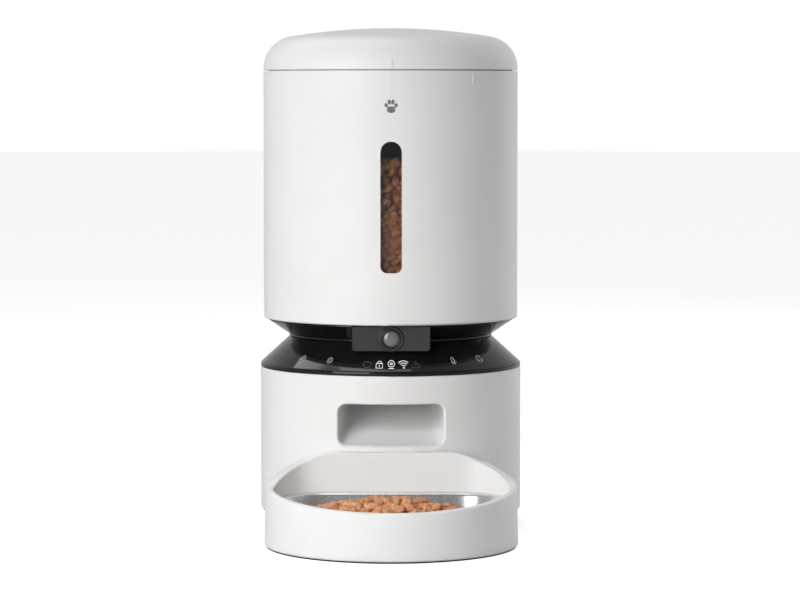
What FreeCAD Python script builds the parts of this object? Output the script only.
import FreeCAD, Part
import math
import os
import re
import Sketcher

# Automatic pet feeder: a round food tank with a twist lid stands on a waisted neck over a round base.
# A motor in the base turns a paddle rotor under the tank's funnel, and food falls down a chute into a steel
# bowl, which lies in a tray that draws off forwards. Millimetres. The origin is on the floor under the
# tank's axis, +Z is up and the front of the feeder looks along -Y.

V = FreeCAD.Vector
doc = FreeCAD.newDocument("PetFeeder")

# ---------------------------------------------------------------- driving dimensions
SIZES = {
    "wall": 2.4,  # moulded shells
    "gap": 0.4,  # clearance between parts that come apart
    "foot_height": 2.0,
    "base_radius": 97.0,
    "base_low": 12.0,
    "base_high": 118.2,
    "plate_foot_radius": 89.0,  # the black base plate tapers in towards the floor
    "plate_floor": 5.0,
    "edge_radius": 95.9,  # outer edge of the sloping control ring
    "edge_height": 121.2,
    "neck_radius": 75.4,  # the waist
    "neck_height": 140.4,
    "seat_radius": 91.2,  # top of the upper cone, which the tank stands on
    "seat_height": 153.6,
    "tank_radius": 94.4,
    "tank_low": 154.2,
    "tank_high": 337.1,
    "collar_radius": 90.2,  # the tank's own rim, inside the lid
    "collar_high": 345.0,
    "lid_low": 337.8,
    "lid_high": 368.8,
    "lid_shoulder": 24.0,
    "liner_height": 345.4,
    "window_width": 15.3,
    "window_low": 192.1,
    "window_high": 286.3,
    "cup_radius": 47.0,
    "cup_floor": 110.0,
    "cup_high": 139.0,
    "rotor_low": 114.0,
    "rotor_high": 136.0,
    "rotor_radius": 43.6,
    "shaft_radius": 4.0,
    "mouth_width": 76.4,  # the chute's opening in the base
    "mouth_low": 67.0,
    "mouth_high": 97.8,
    "mouth_corner": 6.5,
    "camera_width": 56.0,
    "camera_low": 135.6,
    "camera_high": 153.2,
    "camera_front": 87.0,
    "lens_height": 144.4,
    "tray_radius": 90.0,
    "tray_centre": 121.5,  # in front of the tank's axis
    "tray_wall": 4.4,
    "tray_front": 35.2,  # the rim's height in front
    "tray_side": 42.0,
    "tray_back": 64.0,
    "bowl_rim": 34.0,
    "bay_length": 108.0,  # battery bay
    "bay_width": 66.0,
    "bay_high": 42.0,
    "bay_back": 46.0,
    "bowl_back": 106.0,
    "bowl_floor": 8.0,
    "module": 1.0,  # gear train
    "gear_slack": 0.25,
    "gear_low": 89.0,
    "gear_width": 6.0,
    "speaker_height": 88.5,
    "panel_height": 34.0,  # the rear panel with the inlet and the button
    "mark_width": 1.8,  # the raised strokes that line the lid up with the tank
    "mark_height": 6.4,
}
DERIVED = {
    "mouth_middle": "=(mouth_low + mouth_high) / 2",
    "mouth_tall": "=mouth_high - mouth_low",
    "camera_middle": "=(camera_low + camera_high) / 2",
    "camera_tall": "=camera_high - camera_low",
    "arm": "=tank_radius - lid_shoulder",  # centre of the lid's shoulder arc, off the axis
    "rise": "=lid_high - lid_low - 1.2",
    "crown": "=(arm ^ 2 + rise ^ 2 - lid_shoulder ^ 2) / (2 * (rise - lid_shoulder))",
    "shoulder_x": "=arm * crown / (crown - lid_shoulder)",
    "shoulder_z": "=lid_high - crown + (crown - rise) * crown / (crown - lid_shoulder)",
}
OUTPUT_TEETH = 40
IDLER_TEETH = 36
PINION_TEETH = 12
PADDLES = 6
LUGS = 3
TWIST = 41.0  # degrees from the lid's open mark to its locked mark

sheet = doc.addObject("Spreadsheet::Sheet", "Sizes")
for row, (alias, value) in enumerate((SIZES | DERIVED).items(), start=1):
    sheet.set(f"A{row}", alias)
    sheet.set(f"B{row}", str(value))
    sheet.setAlias(f"B{row}", alias)
doc.recompute()
for alias in DERIVED:
    SIZES[alias] = float(sheet.get(alias))
ALIAS = re.compile(r"\b(" + "|".join(sorted(SIZES, key=len, reverse=True)) + r")\b")


def bound(text):
    """The same sum in the spreadsheet's terms."""
    return ALIAS.sub(r"Sizes.\1", str(text))


def number(text):
    """What a sum of sizes and numbers comes to."""
    return FreeCAD.Units.parseQuantity(ALIAS.sub(lambda m: repr(SIZES[m.group(1)]), str(text))).Value


# ---------------------------------------------------------------- building blocks
def draw(sketch, outline):
    """Adds one closed outline. A corner is (x, y), or (x, y, radius) where an arc runs on to the next corner:
    a positive radius turns anticlockwise. A single (x, y, radius) is a circle."""
    if len(outline) == 1:
        draw_circle(sketch, *outline[0])
        return
    first = sketch.GeometryCount
    points = [(number(c[0]), number(c[1])) for c in outline]
    for i, corner in enumerate(outline):
        a, b = points[i], points[(i + 1) % len(points)]
        if len(corner) == 3:
            sketch.addGeometry(arc_between(a, b, number(corner[2])), False)
        else:
            sketch.addGeometry(Part.LineSegment(V(*a, 0), V(*b, 0)), False)
    for i, corner in enumerate(outline):
        here, following = first + i, first + (i + 1) % len(outline)
        start, end = (2, 1) if is_clockwise(corner) else (1, 2)
        next_start = 2 if is_clockwise(outline[(i + 1) % len(outline)]) else 1
        sketch.addConstraint(Sketcher.Constraint("Coincident", here, end, following, next_start))
        for kind, text in (("DistanceX", corner[0]), ("DistanceY", corner[1])):
            bind_constraint(sketch, Sketcher.Constraint(kind, -1, 1, here, start, number(text)), text)
        if len(corner) == 3:
            size = str(corner[2]).lstrip("-")
            bind_constraint(sketch, Sketcher.Constraint("Radius", here, number(size)), size)


def is_clockwise(corner):
    return len(corner) == 3 and str(corner[2]).startswith("-")


def bind_constraint(sketch, constraint, text):
    index = sketch.addConstraint(constraint)
    sketch.setExpression(f"Constraints[{index}]", bound(text))


def draw_circle(sketch, x, y, radius):
    centre = V(number(x), number(y), 0)
    index = sketch.addGeometry(Part.Circle(centre, V(0, 0, 1), number(radius)), False)
    bind_constraint(sketch, Sketcher.Constraint("DistanceX", -1, 1, index, 3, number(x)), x)
    bind_constraint(sketch, Sketcher.Constraint("DistanceY", -1, 1, index, 3, number(y)), y)
    bind_constraint(sketch, Sketcher.Constraint("Radius", index, number(radius)), radius)


def arc_between(a, b, radius):
    """The shorter arc from a to b: its centre is on the left of a-b for a positive radius."""
    size, side = abs(radius), math.copysign(1, radius)
    dx, dy = b[0] - a[0], b[1] - a[1]
    chord = math.hypot(dx, dy)
    rise = math.sqrt(max(size * size - chord * chord / 4, 0.0))
    centre = V((a[0] + b[0]) / 2 - side * dy / chord * rise, (a[1] + b[1]) / 2 + side * dx / chord * rise, 0)
    circle = Part.Circle(centre, V(0, 0, 1), size)
    start = math.atan2(a[1] - centre.y, a[0] - centre.x)
    end = math.atan2(b[1] - centre.y, b[0] - centre.x)
    if side < 0:
        start, end = end, start
    return Part.ArcOfCircle(circle, start, end if end > start else end + 2 * math.pi)


def rounded(x, y, width, height, corner):
    """A rectangle about (x, y) with rounded corners."""
    w, h, corner = f"({width})/2", f"({height})/2", f"({corner})"
    return [
        (f"{x}-{w}+{corner}", f"{y}-{h}"),
        (f"{x}+{w}-{corner}", f"{y}-{h}", corner),
        (f"{x}+{w}", f"{y}-{h}+{corner}"),
        (f"{x}+{w}", f"{y}+{h}-{corner}", corner),
        (f"{x}+{w}-{corner}", f"{y}+{h}"),
        (f"{x}-{w}+{corner}", f"{y}+{h}", corner),
        (f"{x}-{w}", f"{y}+{h}-{corner}"),
        (f"{x}-{w}", f"{y}-{h}+{corner}", corner),
    ]


def block(x_low, x_high, y_low, y_high):
    """A plain rectangle."""
    return [(x_low, y_low), (x_high, y_low), (x_high, y_high), (x_low, y_high)]


PIECES = []  # every sub-part, in the order it is built


class Piece:
    """One sub-part: a PartDesign body that is turned, padded and pocketed from sketches on its own planes."""

    def __init__(self, label, keep=True):
        self.body = doc.addObject("PartDesign::Body", "body_" + label)
        self.body.Label = label
        if keep:
            PIECES.append(self.body)

    def sketch(self, plane, outlines, offset="0"):
        sketch = self.body.newObject("Sketcher::SketchObject", "sketch")
        support = [f for f in self.body.Origin.OriginFeatures if f.Role == plane + "_Plane"][0]
        sketch.AttachmentSupport = [(support, "")]
        sketch.MapMode = "FlatFace"
        sketch.setExpression("AttachmentOffset.Base.z", bound(offset))
        for outline in outlines:
            draw(sketch, outline)
        return sketch

    def turn(self, outline, cut=False):
        """Turns an (r, z) outline about the body's Z axis."""
        kind = "PartDesign::Groove" if cut else "PartDesign::Revolution"
        sketch = self.sketch("XZ", [outline])
        feature = self.body.newObject(kind, "turned")
        feature.Profile = sketch
        feature.ReferenceAxis = (sketch, ["V_Axis"])
        feature.Angle = 360
        return self

    def thick(self, kind, plane, outlines, low, high):
        """Pads or pockets outlines between two levels along X, Y or Z, whichever is square to the plane."""
        sign = "-" if plane == "XZ" else ""
        sketch = self.sketch(plane, outlines, f"{sign}(({low})+({high}))/2")
        feature = self.body.newObject("PartDesign::" + kind, kind.lower())
        feature.Profile = sketch
        feature.SideType = "Symmetric"
        feature.setExpression("Length", bound(f"({high})-({low})"))
        return self

    def loft(self, kind, plane, stations):
        """A solid or a hollow through outlines that stand at several levels."""
        sign = "-" if plane == "XZ" else ""
        sketches = [self.sketch(plane, [outline], f"{sign}({level})") for level, outline in stations]
        feature = self.body.newObject(f"PartDesign::{kind}Loft", "loft")
        feature.Profile = sketches[0]
        feature.Sections = sketches[1:]
        feature.Ruled = True
        return self

    def soften(self, size, chosen):
        """Rounds the edges of the body so far that the test picks."""
        doc.recompute()
        last = self.body.Tip
        names = [f"Edge{i}" for i, e in enumerate(last.Shape.Edges, start=1) if chosen(e.BoundBox)]
        feature = self.body.newObject("PartDesign::Fillet", "softened")
        feature.Base = (last, names)
        feature.Radius = size
        return self

    def add(self, plane, outlines, low, high):
        return self.thick("Pad", plane, outlines, low, high)

    def cut(self, plane, outlines, low, high):
        return self.thick("Pocket", plane, outlines, low, high)

    def around(self, count, angle=360.0):
        """Repeats the last feature about Z."""
        last = self.body.Tip
        pattern = self.body.newObject("PartDesign::PolarPattern", "around")
        pattern.Originals = [last]
        pattern.Axis = ([f for f in self.body.Origin.OriginFeatures if f.Role == "Z_Axis"][0], [""])
        pattern.Angle = angle
        pattern.Occurrences = count
        self.body.Tip = pattern
        return self

    def at(self, x="0", y="0", z="0", facing=None):
        """Stands the body at a point, with its Z axis up or along facing."""
        if facing:
            self.body.Placement = FreeCAD.Placement(V(0, 0, 0), FreeCAD.Rotation(V(0, 0, 1), V(*facing)))
        for axis, text in (("x", x), ("y", y), ("z", z)):
            self.body.setExpression(f"Placement.Base.{axis}", bound(text))
        return self


def turned(label, outline):
    return Piece(label).turn(outline)


def shaped(label, shape):
    """A sub-part whose shape Part's own functions make."""
    feature = doc.addObject("Part::Feature", "shape_" + label)
    feature.Label = label
    feature.Shape = shape
    PIECES.append(feature)
    return feature


def copies(solid, places):
    """One compound of the same solid at several places."""
    made = []
    for x, y, z in places:
        one = solid.copy()
        one.translate(V(x, y, z))
        made.append(one)
    return Part.makeCompound(made)


def on_circle(radius, count, start=0.0):
    turn = [math.radians(start + 360.0 * i / count) for i in range(count)]
    return [(radius * math.cos(a), radius * math.sin(a)) for a in turn]


def screw(radius, length, head_radius, head_height):
    """A pan-head screw standing head up with its head's underside at z = 0, and a cross recess."""
    head = Part.makeCylinder(head_radius, head_height)
    head = head.makeFillet(head_height * 0.45, [head.Edges[0]])
    slot = Part.makeBox(head_radius * 1.1, 0.5, head_height * 0.5)
    slot.translate(V(-head_radius * 0.55, -0.25, head_height * 0.55))
    other = slot.copy()
    other.rotate(V(0, 0, 0), V(0, 0, 1), 90)
    shank = Part.makeCylinder(radius, length, V(0, 0, -length))
    return head.cut(slot).cut(other).fuse(shank).removeSplitter()


# ---------------------------------------------------------------- base: shell, plate, foot
def base_shell():
    """The white cylinder round the works, open below, with the chute's mouth in front."""
    piece = turned(
        "base_shell",
        [
            ("base_radius-wall", "base_low"),
            ("base_radius-0.8", "base_low"),
            ("base_radius", "base_low+0.8"),
            ("base_radius", "base_high-0.9", "0.9"),
            ("base_radius-0.9", "base_high"),
            ("base_radius-wall", "base_high"),
            ("base_radius-wall", "cup_floor-2.4"),
            ("base_radius-wall-2", "cup_floor-2.4"),
            ("base_radius-wall-2", "cup_floor-4.4"),
            ("base_radius-wall", "cup_floor-6.4"),
        ],
    )
    mouth = rounded("0", "mouth_middle", "mouth_width", "mouth_tall", "mouth_corner")
    piece.cut("XZ", [mouth], "-base_radius-5", "-70")
    low, high, reach = SIZES["mouth_low"] - 0.1, SIZES["mouth_high"] + 0.1, -SIZES["base_radius"]
    piece.soften(1.1, lambda b: low < b.ZMin and b.ZMax < high and b.YMin < reach + 9 and on_skin(b, 97.0))
    piece.cut("XZ", [rounded("0", "panel_height", "34.6", "26.6", "3")], "80", "base_radius+5")
    holes = [[(x, z, "1.1")] for x, z in SPEAKER_HOLES]
    piece.cut("XZ", holes, "80", "base_radius+5")


def on_skin(box, radius):
    """Whether an edge's far corner lies on the cylinder of that radius."""
    return abs(math.hypot(max(abs(box.XMin), abs(box.XMax)), box.YMax) - radius) < 0.3


SPEAKER_HOLES = [("0", "speaker_height")]
SPEAKER_HOLES += [(f"{x:.3f}", f"speaker_height+{z:.3f}") for x, z in on_circle(5, 6) + on_circle(10, 12)]


def base_plate():
    """The black bottom: a tapering rim, a floor and the battery bay that stands up from it."""
    bay_front = "bay_back-bay_width"
    piece = turned(
        "base_plate",
        [
            ("0", "foot_height"),
            ("plate_foot_radius-1", "foot_height"),
            ("plate_foot_radius", "foot_height+1"),
            ("base_radius-0.9", "base_low-0.3"),
            ("base_radius-wall-0.3", "base_low-0.3"),
            ("base_radius-wall-0.3", "base_low+5"),
            ("base_radius-wall-2.1", "base_low+5"),
            ("base_radius-wall-2.1", "base_low-1"),
            ("plate_foot_radius-2.4", "plate_floor"),
            ("0", "plate_floor"),
        ],
    )
    outer = block("-bay_length/2-2", "bay_length/2+2", bay_front + "-2", "bay_back+2")
    inner = block("-bay_length/2", "bay_length/2", bay_front, "bay_back")
    piece.add("XY", [outer], "plate_floor-1", "bay_high+2")
    piece.cut("XY", [inner], "foot_height-1", "bay_high")
    ledge = block("-bay_length/2-1", "bay_length/2+1", bay_front + "-1", "bay_back+1")
    piece.cut("XY", [ledge], "foot_height-1", "foot_height+1.8")
    piece.add("XY", [block("-18", "18", "-91", "-86")], "plate_floor-1", "26")
    piece.cut("XZ", [[("-12", "20", "4")], [("12", "20", "4")]], "-95", "-88.4")
    recess = [[(x, y, "3.4")] for x, y in SCREW_SPOTS]
    piece.cut("XY", recess, "foot_height-1", "foot_height+1.4")
    piece.cut("XY", [[(x, y, "1.9")] for x, y in SCREW_SPOTS], "foot_height-1", "plate_floor+1")


SCREW_SPOTS = [(f"{x:.3f}", f"{y:.3f}") for x, y in on_circle(80.5, 4, 45)]


def foot_ring():
    """The rubber ring that the base stands on."""
    turned(
        "foot_ring",
        [
            ("70", "0"),
            ("75.4", "0", "0.6"),
            ("76", "0.6"),
            ("76", "foot_height"),
            ("69.4", "foot_height"),
            ("69.4", "0.6", "0.6"),
        ],
    )


def battery_door():
    """The cover under the battery bay, hinged at its rear edge, with a finger latch in front."""
    front, low, high = "bay_back-bay_width+gap-0.8", "foot_height", "foot_height+1.4"
    grip = rounded("0", "bay_back-bay_width+6", "22", "6", "2.5")
    wide, narrow = "bay_length/2+0.6", "bay_length/2-2"
    piece = Piece("battery_door")
    piece.add("XY", [block(f"-({wide})", wide, front, "bay_back-8")], low, high)
    piece.add("XY", [block(f"-({narrow})", narrow, "bay_back-8.2", "bay_back-1.2")], low, high)
    piece.add("YZ", [[("bay_back-2.6", "foot_height+1.3", "1.3")]], f"-({narrow})", narrow)
    piece.cut("XY", [grip], "foot_height-1", "foot_height+0.7")


def battery_contacts():
    """Flat contacts at one end of the bay and coil springs at the other, for a row of cells."""
    front, back = SIZES["bay_back"] - SIZES["bay_width"] + 0.2, SIZES["bay_back"] - 0.2
    plate = Part.makeBox(14, 0.6, 12, V(-7, front, 15.5))
    spring = Part.makeCone(5.2, 3.0, 4.0, V(0, back, 21.5), V(0, -1, 0))
    hollow = Part.makeCone(4.2, 2.0, 4.2, V(0, back + 0.1, 21.5), V(0, -1, 0))
    cells = [(x, 0, 0) for x in (-36, 0, 36)]
    parts = copies(plate, cells).Solids + copies(spring.cut(hollow), cells).Solids
    shaped("battery_contacts", Part.makeCompound(parts))


def base_screws():
    """Four screws through the plate into posts."""
    one = screw(1.6, 12, 3.0, 1.2)
    one.rotate(V(0, 0, 0), V(1, 0, 0), 180)
    spots = [(float(x), float(y), SIZES["foot_height"] + 1.4) for x, y in SCREW_SPOTS]
    shaped("base_screws", copies(one, spots))


# ---------------------------------------------------------------- neck: control ring, upper cone, camera
def control_ring():
    """The glossy black ring that slopes up from the base to the waist, with the touch marks."""
    piece = turned(
        "control_ring",
        [
            ("base_radius-wall-0.3", "base_high-4"),
            ("base_radius-wall-0.3", "base_high"),
            ("base_radius-0.2", "base_high"),
            ("base_radius-0.2", "edge_height-1.2", "2.2"),
            ("edge_radius", "edge_height+0.6"),
            ("neck_radius+0.6", "neck_height-0.5", "0.8"),
            ("neck_radius-0.2", "neck_height"),
            ("70", "neck_height"),
            ("70", "neck_height-2.3"),
            ("neck_radius-0.8", "neck_height-2.3"),
            ("edge_radius-2.6", "edge_height-0.6"),
            ("edge_radius-3.4", "base_high-4"),
        ],
    )
    half = "camera_width/2+0.4"
    piece.cut("XY", [block(f"-({half})", half, "-camera_front+3", "-60")], "camera_low-0.4", "neck_height+5")


def upper_neck():
    """The black cone that flares from the waist up to the tank, with the deck round the rotor cup."""
    piece = turned(
        "upper_neck",
        [
            ("50.4", "neck_height"),
            ("neck_radius-1.6", "neck_height", "1.6"),
            ("neck_radius+0.1", "neck_height+2.0"),
            ("seat_radius", "seat_height-0.6"),
            ("seat_radius", "seat_height"),
            ("seat_radius-3.4", "seat_height"),
            ("neck_radius-2.0", "neck_height+2.9"),
            ("neck_radius-2.6", "neck_height+2.2"),
            ("50.4", "neck_height+2.2"),
        ],
    )
    half = "camera_width/2+0.4"
    piece.cut("XY", [block(f"-({half})", half, "-seat_radius-2", "-64")], "neck_height-2", "seat_height+2")


def camera():
    """The camera's housing, front bezel, lens and board, let into the front of the neck."""
    housing = Piece("camera_housing")
    outline = [
        ("-camera_width/2+2.6", "camera_low"),
        ("camera_width/2-2.6", "camera_low", "2.6"),
        ("camera_width/2", "camera_low+2.6"),
        ("camera_width/2", "camera_high"),
        ("-camera_width/2", "camera_high"),
        ("-camera_width/2", "camera_low+2.6", "2.6"),
    ]
    housing.add("XZ", [outline], "-camera_front", "-65")
    hollow = rounded("0", "camera_middle", "camera_width-4", "camera_tall-4", "1.5")
    housing.cut("XZ", [hollow], "-camera_front+2.4", "-60")
    housing.cut("XZ", [[("0", "lens_height", "7.4")]], "-camera_front-2", "-60")
    housing.cut("XZ", [[("0", "camera_low+0.9", "0.5")]], "-camera_front-2", "-camera_front+1")
    bezel = [("6.0", "0"), ("8.7", "0"), ("8.7", "0.8"), ("7.9", "2.0"), ("6.9", "2.0"), ("6.0", "0.8")]
    barrel = [("0", "-9"), ("7.1", "-9"), ("7.1", "0"), ("0", "0")]
    dome = [("0", "0"), ("6.0", "0"), ("6.0", "0.5"), ("5.0", "1.1"), ("3.4", "1.6")]
    dome += [("1.4", "1.85"), ("0", "1.85")]
    for label, outline in (("lens_bezel", bezel), ("lens_barrel", barrel), ("lens_glass", dome)):
        turned(label, outline).at("0", "-camera_front", "lens_height", (0, -1, 0))
    board = Piece("camera_board")
    board.add("XZ", [rounded("0", "camera_middle", "52", "13", "1")], "-78", "-76.4")


# ---------------------------------------------------------------- dispensing: cup, rotor, gears, motor
def rotor_cup():
    """The cup that the rotor turns in, with the outlet in its floor and a flange for its screws."""
    piece = turned(
        "rotor_cup",
        [
            ("5.6", "cup_floor"),
            ("cup_radius+12", "cup_floor"),
            ("cup_radius+12", "cup_floor+3"),
            ("cup_radius", "cup_floor+3"),
            ("cup_radius", "cup_high"),
            ("cup_radius-2.4", "cup_high"),
            ("cup_radius-2.4", "cup_floor+3"),
            ("5.6", "cup_floor+3"),
        ],
    )
    outlet = [("-16", "-17"), ("16", "-17"), ("25", "-36", "-44"), ("-25", "-36")]
    piece.cut("XY", [outlet], "cup_floor-2", "cup_floor+3.5")
    piece.cut("XY", [[(x, y, "1.8")] for x, y in CUP_SPOTS], "cup_floor-1", "cup_floor+4")


CUP_SPOTS = [(f"{x:.3f}", f"{y:.3f}") for x, y in on_circle(54.5, 4, 45)]


def drive_bush():
    """The bush in the cup's floor that the drive shaft turns in."""
    turned(
        "drive_bush",
        [
            ("shaft_radius+0.05", "cup_floor-1"),
            ("7.6", "cup_floor-1"),
            ("7.6", "cup_floor"),
            ("5.6", "cup_floor"),
            ("5.6", "cup_floor+3"),
            ("shaft_radius+0.05", "cup_floor+3"),
        ],
    )


def outlet_shield():
    """A plate over the outlet, so that food can't fall straight through the rotor."""
    reach = SIZES["cup_radius"] - 2.4
    ring = Part.makeCylinder(reach, 1.6, V(0, 0, SIZES["rotor_high"] + 1.0), V(0, 0, 1), 96)
    ring = ring.cut(Part.makeCylinder(11, 4, V(0, 0, SIZES["rotor_high"])))
    ring.rotate(V(0, 0, 0), V(0, 0, 1), -138)
    shaped("outlet_shield", ring)


def rotor():
    """The shaft, the paddle wheel, its silicone tips and the stirrer: they turn as one."""
    shaft = turned(
        "drive_shaft",
        [
            ("0", "gear_low-9.4"),
            ("shaft_radius", "gear_low-9.4"),
            ("shaft_radius", "rotor_high-4"),
            ("0", "rotor_high-4"),
        ],
    )
    shaft.cut("XY", [block("shaft_radius-0.8", "shaft_radius+1", "-5", "5")], "cup_floor+3.5", "rotor_high")
    wheel = turned(
        "rotor_wheel",
        [
            ("0", "rotor_high-3.9"),
            ("shaft_radius+0.1", "rotor_high-3.9"),
            ("shaft_radius+0.1", "rotor_low"),
            ("9", "rotor_low"),
            ("8", "rotor_high"),
            ("0", "rotor_high"),
        ],
    )
    wheel.add("XY", [block("8", "rotor_radius-3.4", "-1.3", "1.3")], "rotor_low", "rotor_high-1")
    wheel.around(PADDLES)
    blade = Part.makeBox(3.3, 1.6, SIZES["rotor_high"] - SIZES["rotor_low"] - 2)
    blade.translate(V(SIZES["rotor_radius"] - 3.4, -0.8, SIZES["rotor_low"] + 0.5))
    tips = []
    for i in range(PADDLES):
        one = blade.copy()
        one.rotate(V(0, 0, 0), V(0, 0, 1), 360.0 / PADDLES * i)
        tips.append(one)
    shaped("rotor_tips", Part.makeCompound(tips))
    stirrer = turned(
        "stirrer",
        [
            ("0", "rotor_high"),
            ("7.8", "rotor_high"),
            ("7.2", "rotor_high+6"),
            ("3", "rotor_high+12"),
            ("0", "rotor_high+12"),
        ],
    )
    stirrer.add("XY", [rounded("14", "0", "32", "5", "2.4")], "rotor_high+4", "rotor_high+7")
    stirrer.around(3)


def involute_gear(teeth, bore, low, turn=0.0):
    """A spur gear with involute flanks and a little backlash, standing on z = low."""
    module = SIZES["module"]
    pitch, pressure = teeth * module / 2, math.radians(20)
    base, tip, root = pitch * math.cos(pressure), pitch + 0.95 * module, pitch - 1.25 * module
    half = math.pi / (2 * teeth) - 0.06 / pitch + math.tan(pressure) - pressure
    start = max(base, root + 0.05)
    flank = []
    for i in range(6):
        radius = start + (tip - start) * i / 5
        roll = math.sqrt(max((radius / base) ** 2 - 1, 0.0))
        flank.append((radius, half - (roll - math.atan(roll))))
    points = []
    for tooth in range(teeth):
        middle = 2 * math.pi * tooth / teeth + math.radians(turn)
        points.append((root, middle - flank[0][1] - 0.02 / root))
        points += [(r, middle - a) for r, a in flank]
        points += [(r, middle + a) for r, a in reversed(flank)]
        points.append((root, middle + flank[0][1] + 0.02 / root))
    corners = [V(r * math.cos(a), r * math.sin(a), low) for r, a in points]
    face = Part.Face(Part.makePolygon(corners + corners[:1]))
    solid = face.extrude(V(0, 0, SIZES["gear_width"]))
    return solid.cut(Part.makeCylinder(bore, 40, V(0, 0, low - 10)))


IDLER_AT = (0.0, (OUTPUT_TEETH + PINION_TEETH) * 0.5 * SIZES["module"] + SIZES["gear_slack"])
MOTOR_AT = (
    IDLER_AT[0] + (IDLER_TEETH + PINION_TEETH) * 0.5 * SIZES["module"] + SIZES["gear_slack"],
    IDLER_AT[1],
)


def gear_train():
    """Motor pinion, compound idler and output gear. The second stage lies above the first."""
    low, width = SIZES["gear_low"], SIZES["gear_width"]
    under = low - width - 1.5
    shaped("output_gear", involute_gear(OUTPUT_TEETH, SIZES["shaft_radius"], low))
    # a gap of the follower faces a tooth of the gear that drives it
    small = involute_gear(PINION_TEETH, 1.55, low, 90.0 + 180.0 / PINION_TEETH)
    large = involute_gear(IDLER_TEETH, 1.55, under, 0.0)
    web = Part.makeCylinder(4.2, 1.5, V(0, 0, low - 1.5)).cut(Part.makeCylinder(1.55, 60, V(0, 0, 60)))
    idler = small.fuse([web, large]).removeSplitter()
    idler.translate(V(*IDLER_AT, 0))
    shaped("idler_gear", idler)
    pinion = involute_gear(PINION_TEETH, 1.0, under, 180.0 / PINION_TEETH)
    pinion.translate(V(*MOTOR_AT, 0))
    shaft = Part.makeCylinder(1.0, 16, V(*MOTOR_AT, under - 8))
    shaped("motor_pinion", pinion.fuse(shaft).removeSplitter())
    shaped("idler_pin", Part.makeCylinder(1.5, 21.0, V(*IDLER_AT, low - 11.5)))


def gearbox():
    """The gearbox's lower case and its lid, round the gears, hung under the rotor cup."""
    case = Piece("gearbox_case")
    outline = rounded("4", "17.5", "68", "84", "8")
    spindle = [(f"{IDLER_AT[0]}", f"{IDLER_AT[1]}", "1.5")]
    case.add("XY", [outline], "gear_low-11.5", "gear_low+8")
    case.cut("XY", [rounded("4", "17.5", "64", "80", "6")], "gear_low-9.5", "gear_low+9")
    case.add("XY", [[("0", "0", "6")]], "gear_low-10", "gear_low-3")
    case.cut("XY", [[("0", "0", "shaft_radius+0.05")]], "gear_low-9.5", "gear_low-2")
    case.cut("XY", [[(f"{MOTOR_AT[0]}", f"{MOTOR_AT[1]}", "3.2")], spindle], "gear_low-12", "gear_low-9")
    cover = Piece("gearbox_cover")
    cover.add("XY", [outline], "gear_low+8", "gear_low+10")
    cover.add("XY", [[(x, y, "4")] for x, y in COVER_POSTS], "gear_low+9.5", "cup_floor")
    cover.cut("XY", [[("0", "0", "4.4")], spindle], "gear_low+7", "gear_low+11")


COVER_POSTS = [("-22", "-10"), ("30", "-10"), ("-22", "40"), ("24", "40")]


def motor():
    """The direct-current motor, below the gearbox, with its terminals."""
    top = SIZES["gear_low"] - 11.5
    can = Part.makeCylinder(12, 26, V(*MOTOR_AT, top - 26))
    can = can.makeFillet(1.2, [e for e in can.Edges if abs(e.BoundBox.ZMax - (top - 26)) < 0.01][:1])
    nose = Part.makeCylinder(3.0, 2.0, V(*MOTOR_AT, top))
    end = Part.makeCylinder(4.0, 1.6, V(*MOTOR_AT, top - 27.6))
    tab = Part.makeBox(2.4, 0.6, 4, V(MOTOR_AT[0] - 1.2, MOTOR_AT[1] - 0.3, top - 29))
    body = can.fuse([nose, end] + copies(tab, [(-7, 0, 0), (7, 0, 0)]).Solids)
    body = body.cut(Part.makeCylinder(1.05, 8, V(*MOTOR_AT, top - 5)))
    shaped("motor", body.removeSplitter())


def chute():
    """The slide from the cup's outlet to the mouth in the base, open at both ends."""
    piece = Piece("chute")
    mouth = ("mouth_middle", "mouth_width", "mouth_tall", "mouth_corner")
    bend, end = ("95.4", "69", "28.4", "6"), ("107.8", "58", "4", "1")
    outer = [("-98", *mouth, "0.2"), ("-85", *mouth, "0.2"), ("-58", *bend, "0"), ("-14.5", *end, "0")]
    piece.loft("Additive", "XZ", [(y, shrunk(*sizes)) for y, *sizes in outer])
    end = ("109.2", "54", "2.6", "1")
    inner = [("-99", *mouth, "1.8"), ("-85", *mouth, "1.8"), ("-58", *bend, "1.8"), ("-16.3", *end, "0")]
    piece.loft("Subtractive", "XZ", [(y, shrunk(*sizes)) for y, *sizes in inner])
    piece.cut("XY", [block("-26.5", "26.5", "-45.5", "-16.5")], "104", "112")
    trim = [("base_radius-1.4", "50"), ("130", "50"), ("130", "120"), ("base_radius-1.4", "120")]
    piece.turn(trim, cut=True)


def shrunk(middle, width, height, corner, inset):
    """A rounded opening at that height, drawn in by an inset all round."""
    return rounded("0", middle, f"{width}-2*{inset}", f"{height}-2*{inset}", f"{corner}-{inset}")


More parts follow.
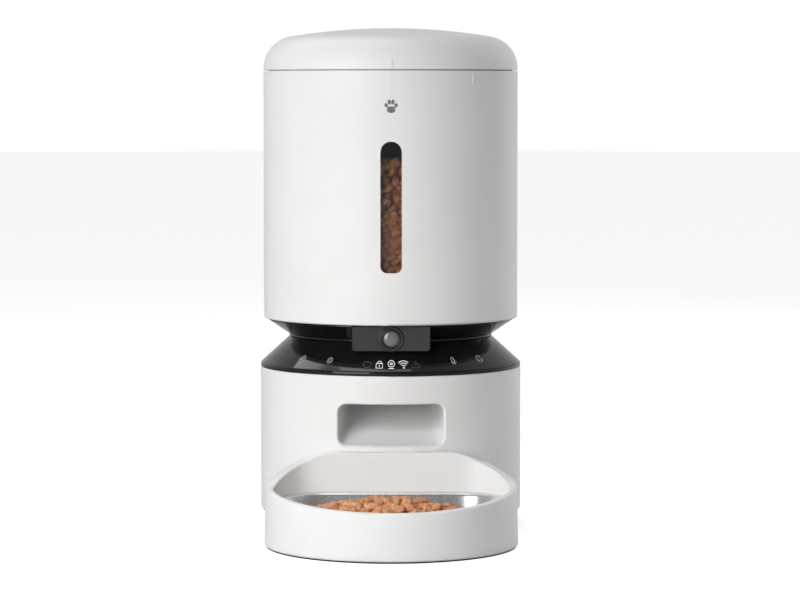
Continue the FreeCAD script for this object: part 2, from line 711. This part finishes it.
def base_deck():
    """The shelf inside the base that carries the rotor cup, with posts for the touch board."""
    piece = turned(
        "base_deck",
        [
            ("52", "cup_floor-2.4"),
            ("base_radius-wall-0.3", "cup_floor-2.4"),
            ("base_radius-wall-0.3", "cup_floor"),
            ("52", "cup_floor"),
        ],
    )
    piece.cut("XY", [block("-35.5", "35.5", "-base_radius", "-10")], "cup_floor-5", "cup_floor+5")
    posts = [[(f"{x:.3f}", f"{y:.3f}", "2.4")] for x, y in on_circle(76, 6, 0)]
    piece.add("XY", posts, "cup_floor-1", "cup_floor+12")
    piece.cut("XY", [[(x, y, "1.6")] for x, y in CUP_SPOTS], "cup_floor-4", "cup_floor+2")
    spots = [(float(x), float(y), SIZES["cup_floor"] + 3) for x, y in CUP_SPOTS]
    shaped("cup_screws", copies(screw(1.6, 7, 3.0, 1.6), spots))
    board = turned("touch_board", block("66", "87", "cup_floor+12", "cup_floor+13.6"))
    board.cut("XY", [block("-30", "30", "-70", "-60")], "cup_floor+10", "cup_floor+15")


def electronics():
    """Main board, speaker, chute sensors, and the rear panel's inlet and button."""
    board = Piece("main_board")
    board.add("XY", [rounded("-24", "14", "56", "56", "2")], "bay_high+5", "bay_high+6.6")
    board.add("XY", [rounded("-38", "26", "16", "14", "0.5")], "bay_high+6.4", "bay_high+9.2")
    board.add("XY", [rounded("-14", "6", "12", "12", "0.5")], "bay_high+6.4", "bay_high+8")
    posts = [Part.makeCylinder(2.2, 3.0, V(x, y, SIZES["bay_high"] + 2)) for x, y in BOARD_POSTS]
    shaped("board_posts", Part.makeCompound(posts))
    cone = [("0", "0"), ("15", "0"), ("17", "3"), ("17", "8"), ("11", "8"), ("11", "12"), ("0", "12")]
    speaker = turned("speaker", cone)
    speaker.at("0", "90", "speaker_height", (0, -1, 0))
    eyes = []
    for side in (-1, 1):
        eye = Part.makeCylinder(2.4, 3.0, V(side * 36.6, -70, 88), V(side, 0, 0))
        eyes.append(eye)
    shaped("chute_sensors", Part.makeCompound(eyes))
    plate = Piece("rear_panel")
    plate.add("XZ", [rounded("0", "panel_height", "34", "26", "2.7")], "91", "94.6")
    socket = rounded("-8", "panel_height", "9.6", "3.8", "1.7")
    plate.cut("XZ", [socket, [("8", "panel_height", "5.5")]], "88", "98")
    inlet = Piece("power_inlet")
    inlet.add("XZ", [socket], "86.4", "94.4")
    inlet.cut("XZ", [rounded("-8", "panel_height", "8.8", "3.0", "1.4")], "87.4", "96")
    inlet.add("XZ", [rounded("-8", "panel_height", "6.6", "0.8", "0.3")], "87.2", "93.2")
    stem = [("0", "-5"), ("3", "-5"), ("3", "-1"), ("5.1", "-1")]
    button = turned("power_button", stem + [("5.1", "1.6", "0.5"), ("4.6", "2.1"), ("0", "2.1")])
    button.at("8", "94.6", "panel_height", (0, 1, 0))
    magnet = Part.makeCylinder(4, 2.6, V(0, 0, 0), V(0, -1, 0))
    shaped("base_magnets", copies(magnet, [(-12, -88.4, 20), (12, -88.4, 20)]))


BOARD_POSTS = [(-48, -10), (0, -10), (-48, 38), (0, 38)]


# ---------------------------------------------------------------- food tank and lid
def sector(r_low, r_high, start, end):
    """A piece of a ring between two bearings, in degrees."""
    a, b = math.radians(start), math.radians(end)
    return [
        (f"{r_low * math.cos(a):.5f}", f"{r_low * math.sin(a):.5f}"),
        (f"{r_high * math.cos(a):.5f}", f"{r_high * math.sin(a):.5f}", f"{r_high}"),
        (f"{r_high * math.cos(b):.5f}", f"{r_high * math.sin(b):.5f}"),
        (f"{r_low * math.cos(b):.5f}", f"{r_low * math.sin(b):.5f}", f"-{r_low}"),
    ]


LUG_AT = -60.0  # bearing of the first lid lug at the open mark


def tank():
    """The white food tank: a tube with a slot for the window and ledges that the lid's lugs turn under."""
    rim = SIZES["collar_radius"]
    piece = turned(
        "tank_shell",
        [
            ("tank_radius-1.5", "tank_low", "1.5"),
            ("tank_radius", "tank_low+1.5"),
            ("tank_radius", "tank_high-0.5"),
            ("tank_radius-0.5", "tank_high"),
            ("collar_radius", "tank_high"),
            ("collar_radius", "collar_high"),
            ("collar_radius-2.3", "collar_high"),
            ("collar_radius-2.3", "tank_high-3"),
            ("tank_radius-wall", "tank_high-7"),
            ("tank_radius-wall", "tank_low+2.8"),
            ("tank_radius-wall-3.5", "tank_low+2.8"),
            ("tank_radius-wall-3.5", "tank_low"),
        ],
    )
    piece.cut("XZ", [window_outline("0")], "-tank_radius-5", "-80")
    piece.add("XZ", [stroke("tank_high-6.3")], "-tank_radius-0.35", "-tank_radius+1.5")
    piece.around(2, 39.0)
    ledges = [sector(rim - 0.5, rim + 1.3, LUG_AT + TWIST - 12, LUG_AT + TWIST + 12)]
    piece.add("XY", ledges, "collar_high-3.3", "collar_high-1.8")
    piece.around(LUGS)
    stops = [sector(rim - 0.5, rim + 1.3, LUG_AT + TWIST + 8.5, LUG_AT + TWIST + 12)]
    piece.add("XY", stops, "collar_high-6", "collar_high-1.8")
    piece.around(LUGS)


def stroke(height):
    """A short upright stroke with round ends."""
    return rounded("0", height, "mark_width", "mark_height", "mark_width/2-0.01")


def window_outline(grow):
    """The window's outline: a round top and softly rounded bottom corners."""
    half, low, high = f"(window_width/2+{grow})", f"(window_low-{grow})", f"(window_high+{grow})"
    return [
        (f"-{half}+4.5", low),
        (f"{half}-4.5", low, "4.5"),
        (half, f"{low}+4.5"),
        (half, f"{high}-{half}", half),
        ("0", high, half),
        (f"-{half}", f"{high}-{half}"),
        (f"-{half}", f"{low}+4.5", "4.5"),
    ]


def tank_window():
    """The smoky window: a curved plate behind the tank's wall with a raised part that fills the slot."""
    ring = Part.makeCylinder(SIZES["tank_radius"] - 0.4, 400)
    ring = ring.cut(Part.makeCylinder(SIZES["tank_radius"] - 4.0, 400))
    flange = ring.common(Part.makeCylinder(SIZES["tank_radius"] - 3.0, 400)).common(slot_prism(3.5))
    shaped("tank_window", ring.common(slot_prism(0.0)).fuse(flange).removeSplitter())
    inner, outer = SIZES["tank_radius"] - 3.0, SIZES["tank_radius"] - SIZES["wall"]
    gasket = Part.makeCylinder(outer, 400).cut(Part.makeCylinder(inner, 400))
    shaped("window_seal", gasket.common(slot_prism(3.0)).cut(slot_prism(0.0)))


def slot_prism(grow):
    """A solid that runs through the tank's front wall in the window's outline, grown by a margin."""
    half = SIZES["window_width"] / 2 + grow
    low, high = SIZES["window_low"] - grow, SIZES["window_high"] + grow - half
    plate = Part.makeBox(2 * half, 40, high - low, V(-half, -110, low))
    corners = [e for e in plate.Edges if e.BoundBox.ZMax < low + 0.01 and e.BoundBox.YLength > 39]
    plate = plate.makeFillet(4.5, corners)
    top = Part.makeCylinder(half, 40, V(0, -110, high), V(0, 1, 0))
    return plate.fuse(top).removeSplitter()


def funnel():
    """The black hopper at the tank's foot that narrows to the rotor cup."""
    turned(
        "hopper_funnel",
        [
            ("cup_radius+0.4", "cup_high-4.5"),
            ("cup_radius+2.6", "cup_high-4.5"),
            ("cup_radius+2.6", "cup_high+4.0"),
            ("tank_radius-wall", "tank_low+18"),
            ("tank_radius-wall", "tank_low+24"),
            ("tank_radius-wall-2.4", "tank_low+24"),
            ("tank_radius-wall-2.4", "tank_low+19"),
            ("cup_radius+0.4", "cup_high+5"),
        ],
    )


def lid():
    """The domed lid: it drops on, and a twist draws its lugs under the tank's ledges."""
    rim = SIZES["tank_radius"]
    inner = "(crown-2.2)/crown"
    meet_z = f"lid_high-crown+(shoulder_z-lid_high+crown)*{inner}"
    piece = turned(
        "lid_shell",
        [
            ("tank_radius-2.2", "lid_low"),
            ("tank_radius-0.5", "lid_low"),
            ("tank_radius", "lid_low+0.5"),
            ("tank_radius", "lid_low+1.2", "lid_shoulder"),
            ("shoulder_x", "shoulder_z", "crown"),
            ("0", "lid_high"),
            ("0", "lid_high-2.2", "-(crown-2.2)"),
            (f"shoulder_x*{inner}", meet_z, "-(lid_shoulder-2.2)"),
            ("tank_radius-2.2", "lid_low+1.2"),
        ],
    )
    piece.add("XY", [[("0", "0", "8")]], "liner_height+4.4", "lid_high-1.2")
    piece.add("XY", [[("0", "0", "4")]], "liner_height-0.4", "liner_height+5")
    piece.cut("XY", [[("0", "0", "1.6")]], "liner_height-2", "lid_high-8")
    piece.add("XZ", [stroke("lid_low+3.6")], "-tank_radius-0.35", "-tank_radius+1.5")
    piece.add("XY", [sector(rim - 3.8, rim - 1.6, LUG_AT - 7, LUG_AT + 7)], "lid_low+1.4", "lid_low+3.4")
    piece.around(LUGS)
    head = Part.makeCylinder(7.0, 1.4, V(0, 0, SIZES["liner_height"] - 1.8))
    bolt = head.fuse(Part.makeCylinder(1.6, 13, V(0, 0, SIZES["liner_height"] - 1.8)))
    slot = Part.makeBox(5, 0.8, 0.8, V(-2.5, -0.4, SIZES["liner_height"] - 1.8))
    shaped("lid_pivot_screw", bolt.cut(slot).removeSplitter())


def lid_core():
    """The plug inside the lid: liner, rubber seal, desiccant cup, its sachet and its cover."""
    turned(
        "lid_liner",
        [
            ("4.3", "liner_height"),
            ("collar_radius-3.6-2.2", "liner_height"),
            ("collar_radius-3.6-2.2", "liner_height-20"),
            ("collar_radius-3.6", "liner_height-20"),
            ("collar_radius-3.6", "liner_height"),
            ("collar_radius", "liner_height"),
            ("collar_radius", "liner_height+2"),
            ("8", "liner_height+2"),
            ("8", "liner_height+4"),
            ("4.3", "liner_height+4"),
        ],
    )
    seal = "collar_radius-3.6"
    turned(
        "lid_seal",
        [
            (seal, "liner_height-9"),
            (seal + "+1.0", "liner_height-8.4"),
            (seal + "+0.4", "liner_height-7.4"),
            (seal + "+1.0", "liner_height-6.6"),
            (seal + "+0.4", "liner_height-5.6"),
            (seal + "+1.0", "liner_height-4.8"),
            (seal, "liner_height-4.2"),
        ],
    )
    turned(
        "desiccant_cup",
        [
            ("28.2", "liner_height-17.4"),
            ("30", "liner_height-18.4"),
            ("30", "liner_height"),
            ("28.2", "liner_height"),
        ],
    )
    cover = turned(
        "desiccant_cover",
        [
            ("0", "liner_height-20.6"),
            ("27.6", "liner_height-20.6", "2.0"),
            ("29.6", "liner_height-18.8"),
            ("26.8", "liner_height-18.8"),
            ("26.8", "liner_height-14"),
            ("25.2", "liner_height-14"),
            ("25.2", "liner_height-18.8"),
            ("0", "liner_height-18.8"),
        ],
    )
    spots = on_circle(6, 6) + on_circle(12, 12) + on_circle(18, 18)
    holes = [[(f"{x:.3f}", f"{y:.3f}", "1.3")] for x, y in spots]
    cover.cut("XY", holes, "liner_height-22", "liner_height-18")
    turned(
        "desiccant_pack",
        [
            ("0", "liner_height-13"),
            ("16", "liner_height-13"),
            ("26", "liner_height-9.4"),
            ("27.6", "liner_height-9"),
            ("26", "liner_height-8.6"),
            ("16", "liner_height-5"),
            ("0", "liner_height-5"),
        ],
    )


# ---------------------------------------------------------------- tray and bowl
def basin(inset, back, side, bend):
    """The bowl's outline in the tray's own plan: straight behind, slanting corners and a round front."""
    radius = SIZES["tray_radius"] - inset
    rear = SIZES["tray_centre"] - SIZES["bowl_back"] - back
    reach = math.sqrt(radius**2 - side**2)
    return [
        (f"{-bend + back * 0.5:.4f}", f"{rear:.4f}"),
        (f"{-reach:.4f}", f"{side}", f"{radius}"),
        (f"{reach:.4f}", f"{side}"),
        (f"{bend - back * 0.5:.4f}", f"{rear:.4f}"),
    ]


def bowl_tray():
    """The white tray: a round tub that fits against the base, high behind and low in front."""
    piece = turned(
        "bowl_tray",
        [
            ("0", "1"),
            ("tray_radius-2.0", "1"),
            ("tray_radius-1.0", "2"),
            ("tray_radius", "30"),
            ("tray_radius", "tray_back+3"),
            ("0", "tray_back+3"),
        ],
    )
    piece.cut("XY", [[("0", "tray_centre", "base_radius+0.5")]], "-2", "tray_back+5")
    above = [("110", "tray_side-10.7"), ("110", "tray_back+10")]
    above += [("-110", "tray_back+10"), ("-110", "tray_side-10.7")]
    crest = [("-56", "tray_back-4.6", "-42"), ("-36", "tray_back")]
    crest += [("36", "tray_back", "-42"), ("56", "tray_back-4.6")]
    piece.cut("XZ", [above + crest], "-tray_radius-5", "tray_radius+5")
    side = [("-100", "tray_front-1.2", "-800"), ("6", "tray_side+0.2", "14"), ("20", "tray_side+14.2")]
    side += [("20", "tray_back+10"), ("-100", "tray_back+10")]
    piece.cut("YZ", [side], "-tray_radius-5", "tray_radius+5")
    upper = SIZES["tray_radius"] - SIZES["tray_wall"]
    reach = SIZES["base_radius"] + 0.5 + SIZES["tray_wall"]
    rear = SIZES["tray_centre"] - math.sqrt(reach**2 - 66**2)
    corner = math.sqrt(upper**2 - 38**2)
    top = [("-66", f"{rear:.4f}"), (f"{-corner:.4f}", "38", f"{upper}"), ("0", f"{-upper}", f"{upper}")]
    top += [(f"{corner:.4f}", "38"), ("66", f"{rear:.4f}", f"{-reach}")]
    low = basin(6.4, -0.6, -8, 62)
    low.insert(2, ("0", f"-{low[1][2]}", low[1][2]))
    low[4] = low[4] + ("-4000",)
    piece.cut("XY", [low], "bowl_rim-1", "bowl_rim+0.8")
    piece.loft("Subtractive", "XY", [("bowl_rim+0.7", low), ("tray_back+4", top)])
    piece.cut("XY", [basin(11, 5.0, -8, 62)], "4.5", "bowl_rim")
    piece.cut("XZ", [[("-12", "20", "4")], [("12", "20", "4")]], "tray_centre-100.2", "tray_centre-90")
    piece.at("0", "-tray_centre", "0")
    magnet = Part.makeCylinder(4, 2.6, V(0, 0, 0), V(0, 1, 0))
    shaped("tray_magnets", copies(magnet, [(-12, -100.2, 20), (12, -100.2, 20)]))
    pad = Part.makeCylinder(7, 1.0)
    shaped("tray_pads", copies(pad, [(64, -92, 0), (-64, -92, 0), (44, -186, 0), (-44, -186, 0)]))


def steel_bowl():
    """The pressed steel bowl with a flange that rests on the tray's ledge."""
    piece = Piece("steel_bowl")
    outer = [("bowl_rim-1", 12, 6), ("bowl_floor+6", 15, 9), ("bowl_floor", 21, 15)]
    piece.loft("Additive", "XY", [(z, basin(i, b, -8, 62)) for z, i, b in outer])
    piece.add("XY", [basin(6.8, 0.4, -8, 62)], "bowl_rim-1.0", "bowl_rim")
    inner = [("bowl_rim+0.1", 12.8, 6.8), ("bowl_floor+6.3", 15.8, 9.8), ("bowl_floor+0.8", 21.6, 15.6)]
    piece.loft("Subtractive", "XY", [(z, basin(i, b, -8, 62)) for z, i, b in inner])
    piece.at("0", "-tray_centre", "0")


BUILDERS = [base_shell, base_plate, foot_ring, battery_door, battery_contacts, base_screws, control_ring]
BUILDERS += [upper_neck, camera, rotor_cup, drive_bush, outlet_shield, rotor, gear_train, gearbox, motor]
BUILDERS += [chute, base_deck, electronics, tank, tank_window, funnel, lid, lid_core, bowl_tray, steel_bowl]
for build in BUILDERS:
    build()
doc.recompute()
bad = [o.Label for o in doc.Objects if "Invalid" in o.State or "Error" in o.State]
assert not bad, bad
os.makedirs("parts", exist_ok=True)
for piece in PIECES:
    shape = piece.Shape
    assert shape.isValid() and shape.Volume > 1, piece.Label
    shape.exportStep(f"parts/{piece.Label}.step")
    box = shape.optimalBoundingBox(False)
    ends = (box.XMin, box.XMax, box.YMin, box.YMax, box.ZMin, box.ZMax)
    print(piece.Label, len(shape.Solids), round(shape.Volume), *[f"{v:.1f}" for v in ends])
